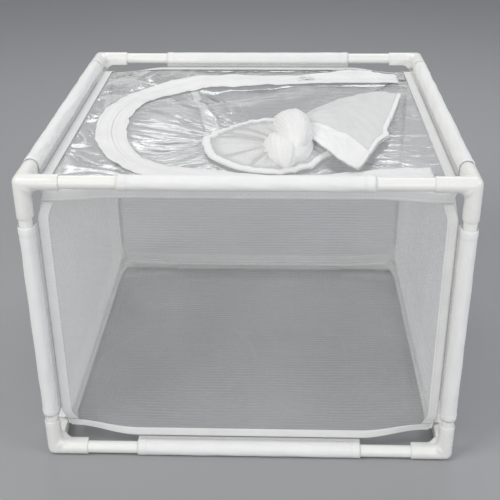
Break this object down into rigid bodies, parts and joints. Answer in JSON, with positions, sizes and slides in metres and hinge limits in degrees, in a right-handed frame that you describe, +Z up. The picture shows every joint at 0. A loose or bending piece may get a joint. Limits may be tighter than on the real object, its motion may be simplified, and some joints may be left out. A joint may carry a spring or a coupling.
{
  "type": "butterfly habitat",
  "caption": "Cube-shaped frame of plastic tubes holding a netting cage, with a clear roof that has a zipped door and a knotted access sleeve.",
  "frame": {"origin": "under the middle of the tube frame, on the surface that it stands on", "axes": "+Z up; +X to the right along the zip's straight runs; +Y to the back, away from the side shown at the front of the picture"},
  "size_m": [0.4, 0.4, 0.3185],
  "materials": {
    "frame_plastic": "satin white PVC pipe and moulded elbows",
    "netting": "fine white polyester insect netting",
    "clear_film": "clear flexible vinyl, wrinkled",
    "seam_cloth": "white woven polyester with stitched hems",
    "zip_tape": "white woven zip tape",
    "zip_coil": "white nylon coil",
    "slider_metal": "white enamelled die casting",
    "sleeve_cloth": "soft white fine-mesh polyester cloth"
  },
  "bodies": {
    "cage": {"elbow_front_left_bottom": "frame_plastic", "elbow_front_right_bottom": "frame_plastic", "elbow_back_left_bottom": "frame_plastic", "elbow_back_right_bottom": "frame_plastic", "elbow_front_left_top": "frame_plastic", "elbow_front_right_top": "frame_plastic", "elbow_back_left_top": "frame_plastic", "elbow_back_right_top": "frame_plastic", "rail_front_bottom": "frame_plastic", "rail_back_bottom": "frame_plastic", "rail_left_bottom": "frame_plastic", "rail_right_bottom": "frame_plastic", "rail_front_top": "frame_plastic", "rail_back_top": "frame_plastic", "rail_left_top": "frame_plastic", "rail_right_top": "frame_plastic", "post_front_left": "frame_plastic", "post_front_right": "frame_plastic", "post_back_left": "frame_plastic", "post_back_right": "frame_plastic", "sleeve_rail_front_bottom": "seam_cloth", "sleeve_rail_back_bottom": "seam_cloth", "sleeve_rail_left_bottom": "seam_cloth", "sleeve_rail_right_bottom": "seam_cloth", "sleeve_rail_front_top": "seam_cloth", "sleeve_rail_back_top": "seam_cloth", "sleeve_rail_left_top": "seam_cloth", "sleeve_rail_right_top": "seam_cloth", "sleeve_post_front_left": "seam_cloth", "sleeve_post_front_right": "seam_cloth", "sleeve_post_back_left": "seam_cloth", "sleeve_post_back_right": "seam_cloth", "binding_top": "seam_cloth", "binding_bottom": "seam_cloth", "binding_front_left": "seam_cloth", "binding_front_right": "seam_cloth", "binding_back_left": "seam_cloth", "binding_back_right": "seam_cloth", "floor_net": "netting", "front_net": "netting", "back_net": "netting", "left_net": "netting", "right_net": "netting", "top_film": "clear_film", "zip_tape_outer": "zip_tape", "zip_coil_outer": "zip_coil"},
    "door": {"door_film": "clear_film", "zip_tape_door": "zip_tape", "zip_coil_door": "zip_coil", "sleeve_ring": "sleeve_cloth", "sleeve_skirt": "sleeve_cloth", "sleeve_knot": "sleeve_cloth", "sleeve_tail": "sleeve_cloth"},
    "slider": {"zip_slider": "slider_metal"},
    "pull": {"zip_pull": "slider_metal"}
  },
  "joints": [
    {"name": "door_lift", "type": "hinge", "parent": "cage", "child": "door", "pos_m": [0.168, 0, 0.28333], "axis": [0, 1, 0], "range_deg": [0, 120]},
    {"name": "zip_travel", "type": "slide", "parent": "door", "child": "slider", "axis": [1, 0, 0], "range_m": [-0.1, 0.095]},
    {"name": "pull_swing", "type": "hinge", "parent": "slider", "child": "pull", "pos_m": [0.053, 0.134, 0.28648], "axis": [0, -1, 0], "range_deg": [0, 180]}
  ]
}
